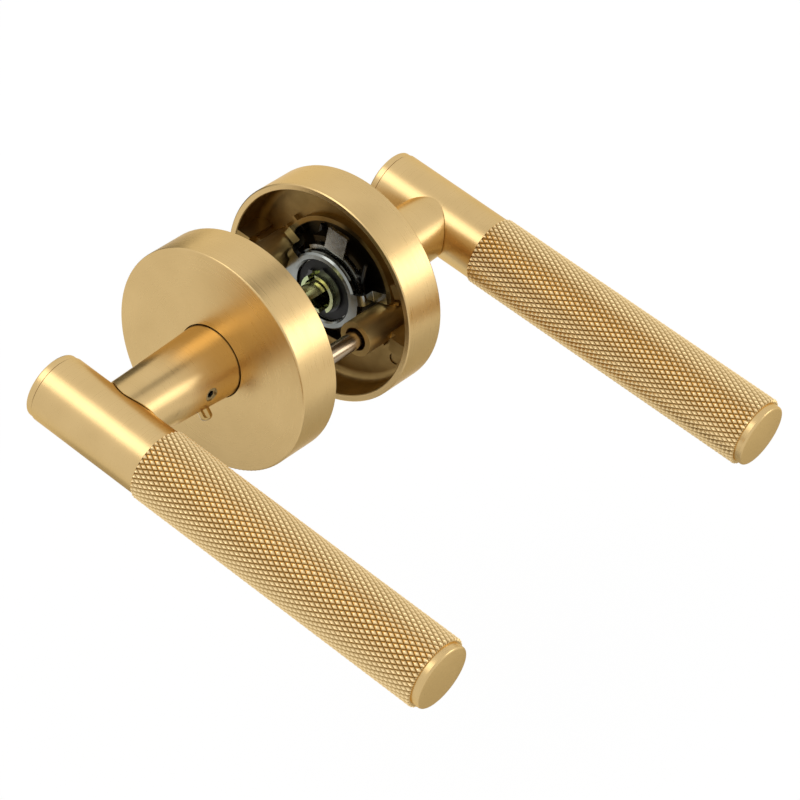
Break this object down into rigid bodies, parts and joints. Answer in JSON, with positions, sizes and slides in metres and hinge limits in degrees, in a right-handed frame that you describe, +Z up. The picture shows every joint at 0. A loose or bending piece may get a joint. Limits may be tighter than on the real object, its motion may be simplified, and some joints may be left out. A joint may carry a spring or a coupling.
{
  "type": "privacy door lever",
  "caption": "Pair of knurled bar door levers on plain round roses, with return springs, a spindle and through-bolts, and a push pin in the interior neck for privacy.",
  "frame": {"origin": "on the spindle's axis, half way between the two faces of the door", "axes": "+Y along the spindle, from the interior to the exterior; +X along the levers, from the spindle to their long ends; +Z up"},
  "size_m": [0.1495, 0.1596, 0.066],
  "materials": {
    "satin_brass": "satin",
    "cast_brass": "matte",
    "yellow_zinc": "satin",
    "bright_steel": "satin",
    "bolt_steel": "satin",
    "spring_steel": "satin",
    "black_nylon": "matte"
  },
  "bodies": {
    "roses": {"exterior_rose": "satin_brass", "interior_rose": "satin_brass", "interior_base": "cast_brass", "through_bolts": "bolt_steel", "interior_bush": "black_nylon", "interior_return_spring": "spring_steel", "interior_spring_plate": "bright_steel", "exterior_bush": "black_nylon", "exterior_return_spring": "spring_steel", "exterior_spring_plate": "bright_steel"},
    "interior_lever": {"interior_neck": "satin_brass", "interior_grip_bar": "satin_brass", "interior_knurled_sleeve": "satin_brass", "interior_short_cap": "satin_brass", "interior_end_cap": "satin_brass", "interior_hub": "yellow_zinc", "interior_spring_driver": "bright_steel", "interior_washer": "black_nylon", "interior_circlip": "spring_steel", "set_screw": "bright_steel", "pin_spring": "spring_steel"},
    "exterior_lever": {"exterior_neck": "satin_brass", "exterior_grip_bar": "satin_brass", "exterior_knurled_sleeve": "satin_brass", "exterior_short_cap": "satin_brass", "exterior_end_cap": "satin_brass", "exterior_hub": "yellow_zinc", "exterior_spring_driver": "bright_steel", "exterior_washer": "black_nylon", "exterior_circlip": "spring_steel", "spindle": "yellow_zinc", "spindle_pin": "bright_steel"},
    "privacy_pin": {"privacy_pin": "satin_brass"},
    "locking_bar": {"locking_bar": "yellow_zinc"}
  },
  "joints": [
    {"name": "interior_lever_turn", "type": "hinge", "parent": "roses", "child": "interior_lever", "pos_m": [0, 0, 0], "axis": [0, 1, 0], "range_deg": [-45, 45], "stiffness_Nm_per_rad": 1.5, "springref_deg": -3.55, "deforming": ["interior_return_spring"]},
    {"name": "exterior_lever_turn", "type": "hinge", "parent": "roses", "child": "exterior_lever", "pos_m": [0, 0, 0], "axis": [0, 1, 0], "range_deg": [-45, 45], "stiffness_Nm_per_rad": 1.5, "springref_deg": -3.55, "deforming": ["exterior_return_spring"]},
    {"name": "privacy_pin_push", "type": "slide", "parent": "interior_lever", "child": "privacy_pin", "axis": [-0.7314, 0, 0.682], "range_m": [0, 0.0015], "stiffness_N_per_m": 600, "springref_m": -0.001, "deforming": ["pin_spring"]},
    {"name": "locking_bar_slide", "type": "slide", "parent": "interior_lever", "child": "locking_bar", "axis": [0, 1, 0], "range_m": [0, 0.0015]}
  ],
  "couplings": [
    {"joint": "exterior_lever_turn", "follows": "interior_lever_turn", "ratio": 1},
    {"joint": "locking_bar_slide", "follows": "privacy_pin_push", "ratio": 1}
  ]
}
